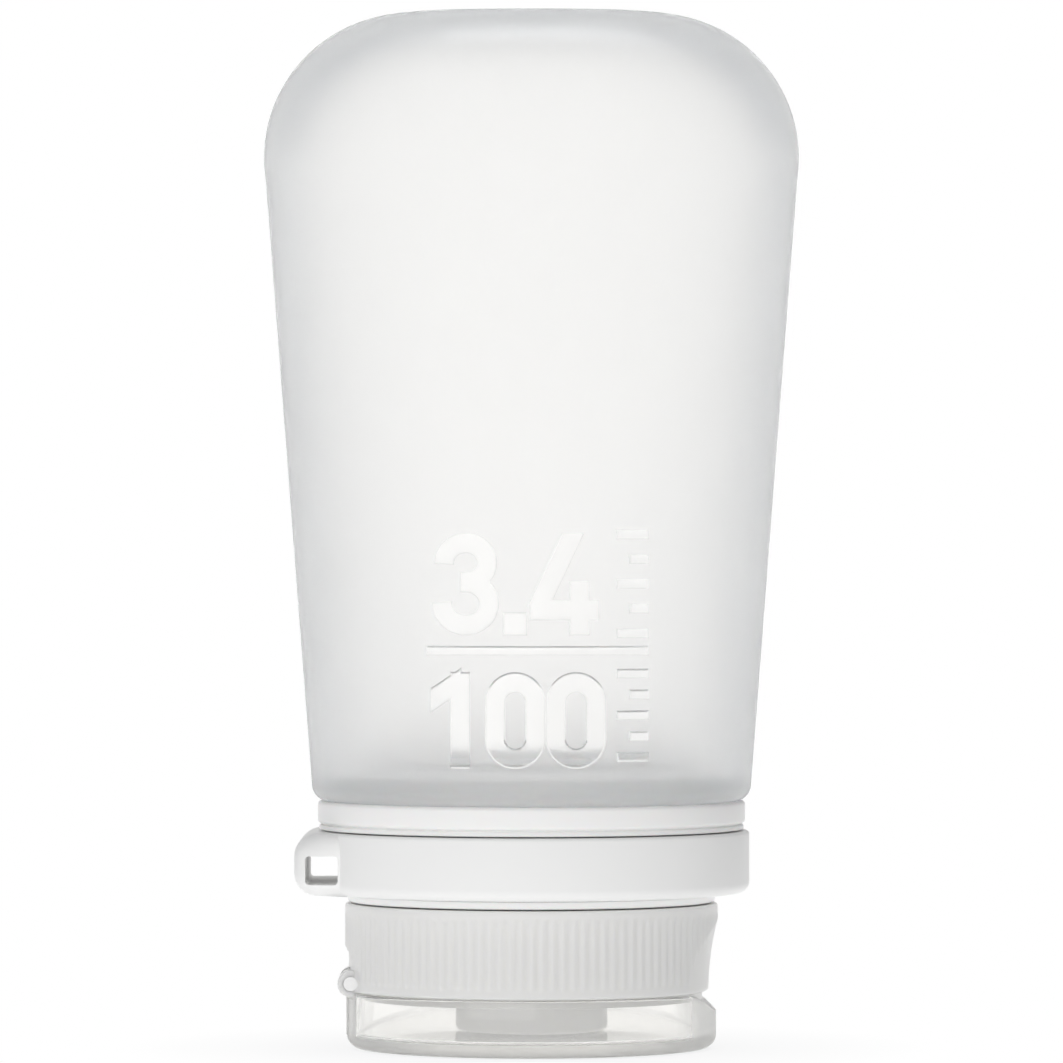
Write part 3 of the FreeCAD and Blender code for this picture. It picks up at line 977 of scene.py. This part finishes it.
# %% Neck
neck_low, neck_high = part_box("neck_collar")
rim, hook_top = neck_low.z, neck_high.z
flange_low = mouth_height - 2.35 * mm
under_lip, under_groove, bead_height = 0.5 * mm, 0.15 * mm, 0.8 * mm
lip_low = flange_low - under_groove - under_lip
bead_low = 15.35 * mm
bore, tube, core, land = 14.6 * mm, 16.4 * mm, 17.6 * mm, 18.8 * mm
bead, lip, groove, flange = 19.3 * mm, 22.3 * mm, 21.85 * mm, 22.45 * mm
core_top = lip_low - 1.15 * mm
hook_low, hook_reach = hook_top - 0.6 * mm, 0.5 * mm
neck_segments, thread_start, thread_depth = 192, 10.15 * mm, 0.95 * mm

neck = turned("neck", rounded([
    (bore, rim, 0.3 * mm),
    (tube, rim, 0.4 * mm),
    (tube, core_top, 0.3 * mm),
    (core, core_top, 0.3 * mm),
    (core, bead_low, 0.2 * mm),
    (bead, bead_low, 0.3 * mm),
    (bead, bead_low + bead_height, 0.2 * mm),
    (land, bead_low + bead_height, 0.12 * mm),
    (land, lip_low, 0.2 * mm),
    (lip, lip_low, 0.15 * mm),
    (lip, lip_low + under_lip, 0.15 * mm),
    (groove, lip_low + under_lip, 0.05 * mm),
    (groove, flange_low, 0.05 * mm),
    (flange, flange_low, 0.4 * mm),
    (flange, mouth_height, 0.4 * mm),
    (spigot, mouth_height, 0.2 * mm),
    (spigot, hook_low, 0.1 * mm),
    (spigot + hook_reach, hook_low, 0.1 * mm),
    (spigot, hook_top, 0.15 * mm),
    (bore, hook_top, 0.2 * mm),
]), neck_segments)
neck_turns = (bead_low - thread_start - ridge_foot) / pitch
ridge = thread("neck_thread", tube - thread_sink, tube + thread_depth, thread_start, neck_turns, 0)
carve(neck, ridge, "UNION")
paint(neck, milky)
dress(neck, "bottle", "neck_collar")

# %% [markdown]
# ## The white ring
# A solid white ring turns freely on the neck and carries a lug for a cord at one side. The ring is
# turned, the lug is a rounded block that grows out of it, and a slot for the cord runs right through
# the lug from front to back.

# %% Ring and lug
ring_low, ring_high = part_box("loop_ring")
ring_radius, band, ring_bore = 22.9 * mm, 21.3 * mm, 19.05 * mm
web_top = ring_low.z + 1.4 * mm
lug_x = ring_low.x
lug_half, lug_corner, lug_round = 11.4 * mm, 3 * mm, 2.4 * mm
lug_back, lug_steps = -19.1 * mm, 8
slot_wide, slot_high, slot_round, slot_half = 3.4 * mm, 3 * mm, 0.4 * mm, 14 * mm
ring_segments = 256
clear_out = 2 * mm        # how far a cutting tool runs past what it cuts

loop_ring = turned("swivel_ring", rounded([
    (ring_bore, ring_low.z, 0.2 * mm),
    (ring_radius, ring_low.z, 1.2 * mm),
    (ring_radius, ring_high.z, 0.35 * mm),
    (band, ring_high.z, 0.25 * mm),
    (band, web_top, 0.3 * mm),
    (ring_bore, web_top, 0.2 * mm),
], 8), ring_segments)

rows = []
for side in (-1, 1):
    for step in range(lug_steps + 1):
        turn = math.pi / 2 * (step if side < 0 else lug_steps - step) / lug_steps
        inset = lug_round * (1 - math.sin(turn))
        edge = ring_low.z if side < 0 else ring_high.z
        height = edge - side * lug_round * (1 - math.cos(turn))
        arc = lug_corner - inset
        row = [(lug_back, lug_half)]
        for end, first in ((1, 90), (-1, 180)):
            for part in range(lug_steps + 1):
                turn_out = math.radians(first + 90 * part / lug_steps)
                row.append((lug_x + lug_corner + arc * math.cos(turn_out),
                            end * (lug_half - lug_corner) + arc * math.sin(turn_out)))
        row.append((lug_back, -lug_half))
        rows.append([(px, py, height) for px, py in row])
carve(loop_ring, lofted("lug", rows), "UNION")
print("ring across, mm:", round(2 * ring_radius / mm, 2))

# %% Slot and bore of the ring
def rounded_bar(name, low, high, rounding, half_length):
    """Bar along Y with rounded long edges, from its low and high corners in X and Z."""
    outline = rounded([(low[0], low[1], rounding), (high[0], low[1], rounding),
                       (high[0], high[1], rounding), (low[0], high[1], rounding)])
    return lofted(name, [[(px, py, pz) for px, pz in outline] for py in (-half_length, half_length)])


slot_x, slot_low = lug_x + 1.2 * mm, ring_low.z + 1.2 * mm
slot_end = (slot_x + slot_wide, slot_low + slot_high)
carve(loop_ring, rounded_bar("slot", (slot_x, slot_low), slot_end, slot_round, slot_half))
carve(loop_ring, turned("bore", [
    Vector((0, ring_low.z - clear_out)),
    Vector((ring_bore, ring_low.z - clear_out)),
    Vector((ring_bore, ring_high.z + clear_out)),
    Vector((0, ring_high.z + clear_out)),
], ring_segments))
paint(loop_ring, white_plastic)
dress(loop_ring, "loop", "loop_ring")

# %% [markdown]
# ## The ribbed cap
# The cap is turned with a plain wall, and one rule then presses its outside into shape: a fine rib
# every few degrees, a plain band above and below them, and the shallow hollow for the thumb at the
# right. A hundred copies of one rib could be set on a plain wall instead, but in a see-through
# plastic their buried faces would show. A rule that moves the wall keeps it one skin. Below the ribs
# the wall steps in, and the lid's rim closes round that step.

# %% Turned start of the cap
boss_low, cap_high = (place.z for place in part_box("screw_cap"))
cap_low = cap_high - 10.15 * mm
deck_top = cap_low + 1.9 * mm
thread_low = deck_top + 2.15 * mm
crest, rib_depth, rib_count = 19.6 * mm, 0.15 * mm, 112
plain_bore, thread_root = 16.75 * mm, 17.7 * mm
boss, outlet, pocket = 8 * mm, 4.2 * mm, 6.3 * mm
valve_low = boss_low + 1 * mm
rebate, rebate_high = 17.95 * mm, cap_low + 1 * mm
cap_segments = rib_count * 8
edge_round, wall_steps = 0.3 * mm, 30

low_corners = [(rebate, rebate_high, 0), (crest, rebate_high, edge_round), (crest, cap_high, 0)]
high_corners = [(crest, cap_low, 0), (crest, cap_high, edge_round), (thread_root, cap_high, 0)]
low_edge, high_edge = rounded(low_corners, 4)[1:-1], rounded(high_corners, 4)[1:-1]
wall_low, wall_high = low_edge[-1].y, high_edge[0].y
wall_points = [
    Vector((crest, wall_low + (wall_high - wall_low) * step / wall_steps))
    for step in range(1, wall_steps)
]
outside = low_edge + wall_points + high_edge
before = rounded([
    (outlet, boss_low, 0.2 * mm),
    (boss, boss_low, 0.35 * mm),
    (boss, cap_low, 0.3 * mm),
    (rebate, cap_low, 0.2 * mm),
    (rebate, rebate_high, 0.15 * mm),
    (crest, rebate_high, 0),
    (outlet, valve_low, 0),
], 2)[:-2]
after = rounded([
    (crest, cap_high, 0),
    (thread_root, cap_high, 0.2 * mm),
    (thread_root, thread_low, 0.2 * mm),
    (plain_bore, thread_low, 0.15 * mm),
    (plain_bore, deck_top, 0.2 * mm),
    (pocket, deck_top, 0.2 * mm),
    (pocket, valve_low, 0),
    (outlet, valve_low, 0),
], 2)[1:]
outline = before + outside + after
cap = turned("ribbed_cap", outline, cap_segments)
marks = [0] * len(before) + [1] * len(outside) + [0] * len(after)
mark_rows(cap, "outer_wall", outline, marks, cap_segments)
print("rows of the cap:", len(outline))

# %% The rule that makes ribs and thumb hollow
plain_band = 0.9 * mm
hollow_steepness = 2.2    # how fast the hollow deepens from its upper edge
cap_sizes = {
    "Crest Radius": crest,
    "Rib Count": rib_count,
    "Rib Depth": rib_depth,
    "Rib Low": rebate_high + plain_band,
    "Rib High": cap_high - plain_band,
    "Rib Fade": 0.35 * mm,
    "Hollow Depth": 1.0 * mm,
    "Hollow Top": cap_high - 1.6 * mm,
    "Hollow Foot": cap_low,
    "Hollow Radius": 25.5 * mm,
}
tree, size, x, y, z = start_tree("ribs_and_hollow", cap_sizes)
outer = stored(tree, "outer_wall")
angle = y.math("ARCTAN2", x)
wave = (angle * size["Rib Count"]).math("COSINE") * 0.5 + 0.5
risen = ((z - size["Rib Low"]) / size["Rib Fade"]).clamped()
plain = ((z - size["Rib High"]) / size["Rib Fade"] + 1).clamped()
level = (wave * risen).high(plain)
rib_inset = (level - 1) * size["Rib Depth"]
fall = ((size["Hollow Top"] - z) / (size["Hollow Top"] - size["Hollow Foot"])).clamped()
depth_share = fall * hollow_steepness - fall * fall * (hollow_steepness - 1)
reach = size["Hollow Radius"] + size["Hollow Depth"] - depth_share * size["Hollow Depth"]
centre = size["Hollow Radius"] + size["Hollow Depth"] - size["Crest Radius"]
off_axis = centre * angle.math("SINE")
hollow = (reach * reach - off_axis * off_axis).root() - centre * angle.math("COSINE")
inset = rib_inset.low(hollow - size["Crest Radius"]) * outer
radius = (x * x + y * y).root()
scale = (radius + inset) / radius
end_tree(tree, x * scale, y * scale, z)
run_tree(cap, tree, cap_sizes, natural)
print("cap across, mm:", round(2 * max(v.co.y for v in cap.data.vertices) / mm, 2))

# %% [markdown]
# At the left the wall steps back in an arch that leaves room for the lid's hinge. Two ears hold the
# pin there, with a pocket between them for the lid's knuckle.

# %% Hinge of the cap
hinge = Vector((-18.9 * mm, 0, 6.9 * mm))
knuckle, knuckle_half, ear_gap, ear_width = 1.4 * mm, 2.6 * mm, 0.25 * mm, 2.2 * mm
hinge_round, pin_hole, rod_segments = 0.2 * mm, 0.76 * mm, 48
recess, recess_half = 19.2 * mm, 7.7 * mm
spring, crown = cap_low + 3.2 * mm, cap_low + 5.75 * mm
arch_radius = (recess_half ** 2 + (crown - spring) ** 2) / (2 * (crown - spring))
arch_steps = 40
beyond, under = -22 * mm, cap_low - clear_out  # the cutting tools end there, outside the cap
crisp = 0.01 * mm         # rounding of an edge that stays sharp

rows = []
for step in range(arch_steps + 1):
    across = recess_half * (2 * step / arch_steps - 1)
    top = crown - arch_radius + math.sqrt(arch_radius ** 2 - across ** 2)
    floor_x = -math.sqrt(recess ** 2 - across ** 2)
    rows.append([(px, across, pz) for px, pz in (
        (floor_x, under), (floor_x, top), (beyond, top), (beyond, under),
    )])
carve(cap, lofted("arch", rows))


def rod(name, radius, low, high, rounding):
    """Round rod on the hinge axis between two places along Y."""
    corners = [(0, low, 0), (radius, low, rounding), (radius, high, rounding), (0, high, 0)]
    made = turned(name, rounded(corners), rod_segments)
    made.data.transform(Matrix.Translation(hinge) @ Matrix.Rotation(math.radians(-90), 4, "X"))
    return made


ear_low = knuckle_half + ear_gap
ear_high = ear_low + ear_width
for name, low, high in (("near_ear", -ear_high, -ear_low), ("far_ear", ear_low, ear_high)):
    carve(cap, rod(name, knuckle, low, high, hinge_round), "UNION")
carve(cap, rod("pocket", knuckle + ear_gap, -ear_low, ear_low, 0))
pocket_end = (hinge.x + knuckle + ear_gap, hinge.z)
carve(cap, rounded_bar("pocket_mouth", (beyond, under), pocket_end, crisp, ear_low))
carve(cap, rod("pin_hole", pin_hole, -ear_high - clear_out, ear_high + clear_out, 0))
print("hinge ears end at, mm:", round(ear_high / mm, 2))

# %% Thread and painted light round the cap's outlet
cap_start, thread_end = 10.9 * mm, cap_high - 0.25 * mm
# faces this close to the axis are painted whiter, as painted light
painted_light_within = boss + 0.15 * mm
cap_turns = (thread_end - cap_start - ridge_foot / 2) / pitch
ridge = thread("cap_thread", thread_root + thread_sink, plain_bore, cap_start, cap_turns, -90)
carve(cap, ridge, "UNION")
paint(cap, natural)
# painted light: faces round the outlet are marked for the whiter colour, for light that hardly reaches them
painted_light_faces = [float(face.center.xy.length < painted_light_within) for face in cap.data.polygons]
mark_faces(cap, "painted_light", painted_light_faces)
dress(cap, "cap", "screw_cap")

# %% [markdown]
# ## The clear lid
# The lid is a shallow clear cup that the bottle stands on. Its rim closes round the step of the cap and
# dips at the right, where a thumb lifts it, and a small plug on its floor closes the outlet. The dip
# is made by lowering the rim's points, more the higher they are, so that the edge keeps its rounding.

# %% Lid
lid_radius, lid_inner, lid_height, lid_floor = 19.4 * mm, 18.2 * mm, 5.9 * mm, 1.5 * mm
plug, plug_inner, plug_high = 3.7 * mm, 2.9 * mm, boss_low + 0.6 * mm
dip_depth, dip_half, dip_from = 1.9 * mm, 9 * mm, 2.4 * mm
lid_segments = 256

lid = turned("clear_lid", rounded([
    (0, 0, 0),
    (lid_radius, 0, 1.4 * mm),
    (lid_radius, lid_height, 0.3 * mm),
    (lid_inner, lid_height, 0.3 * mm),
    (lid_inner, lid_floor, 0.4 * mm),
    (plug, lid_floor, 0.15 * mm),
    (plug, plug_high, 0.2 * mm),
    (plug_inner, plug_high, 0.2 * mm),
    (plug_inner, lid_floor, 0.15 * mm),
    (0, lid_floor, 0),
], 7), lid_segments)
dip_radius = (dip_half ** 2 + dip_depth ** 2) / (2 * dip_depth)
for vertex in lid.data.vertices:
    share = (vertex.co.z - dip_from) / (lid_height - dip_from)
    if share > 0 and vertex.co.x > 0 and abs(vertex.co.y) < dip_half:
        dip = math.sqrt(dip_radius ** 2 - vertex.co.y ** 2) - dip_radius + dip_depth
        vertex.co.z -= dip * share
print("lid across, mm:", round(2 * lid_radius / mm, 2))

# %% [markdown]
# At the left a tongue rises from the lid's wall to a knuckle that turns on the pin between the cap's
# ears. The lid's walls are polished, so one sees through them to the cap's outlet. Its rounded foot,
# the thumb place and the hinge look milky in the photo, so those faces are marked as matt.

# %% Hinge and matt places of the lid
lid_hole = 0.8 * mm
foot_high, foot_from = lid_floor + 0.2 * mm, lid_inner - 0.3 * mm
thumb_from, tongue_from = 16.6 * mm, -18.3 * mm
ear_room = ear_high + ear_gap
carve(lid, rod("ear_room", knuckle + ear_gap, -ear_room, ear_room, 0))
tongue = rounded_bar("tongue", (-lid_radius, lid_floor), (-lid_inner, hinge.z), crisp, knuckle_half)
carve(lid, tongue, "UNION")
carve(lid, rod("knuckle", knuckle, -knuckle_half, knuckle_half, hinge_round), "UNION")
carve(lid, rod("lid_hole", lid_hole, -knuckle_half - clear_out, knuckle_half + clear_out, 0))
paint(lid, clear_plastic)
matt = []
for face in lid.data.polygons:
    foot = face.center.z < foot_high and face.center.xy.length > foot_from
    grip = face.center.x > thumb_from or face.center.x < tongue_from
    matt.append(float(foot or grip))
mark_faces(lid, "frosting", matt)
print("matt faces of the lid:", int(sum(matt)), "of", len(matt))
dress(lid, "lid", "flip_lid")

# %% [markdown]
# ## What hides inside
# The clamp ring, gasket, valve, its retainer and the pin hardly show, so their CAD meshes stay. They
# still get a moulded finish each, because the open lid and the see-through walls let them be seen.

# %% Finishes of the hidden pieces
hidden = {
    "body_clamp_ring": finish(
        "clamp_plastic", colour=(0.97, 0.97, 0.967), cloud=(0.955, 0.955, 0.952),
        rough=0.4, drift=0.1, grain=0.3 * mm, bump=0.004 * mm,
    ),
    "cap_gasket": finish(
        "gasket_silicone", colour=(0.9, 0.905, 0.91), cloud=(0.87, 0.875, 0.88),
        rough=0.6, drift=0.1, grain=0.2 * mm, bump=0.006 * mm,
    ),
    "slit_valve": finish(
        "valve_silicone", colour=(0.93, 0.935, 0.94), cloud=(0.91, 0.915, 0.92),
        rough=0.5, drift=0.1, grain=0.2 * mm, bump=0.006 * mm, IOR=1.41, Transmission_Weight=0.4,
    ),
    "valve_retainer": finish(
        "retainer_plastic", colour=(0.92, 0.92, 0.92), cloud=(0.9, 0.9, 0.9),
        rough=0.4, drift=0.1, grain=0.3 * mm, bump=0.004 * mm,
    ),
    "hinge_pin": finish(
        "pin_plastic", colour=(0.92, 0.92, 0.92), cloud=(0.9, 0.9, 0.9),
        rough=0.35, drift=0.1, grain=0.3 * mm, bump=0.003 * mm,
    ),
}
for node, material in hidden.items():
    frame["nodes"][node].data.materials.clear()
    frame["nodes"][node].data.materials.append(material)
    print(node, "wears", material.name)
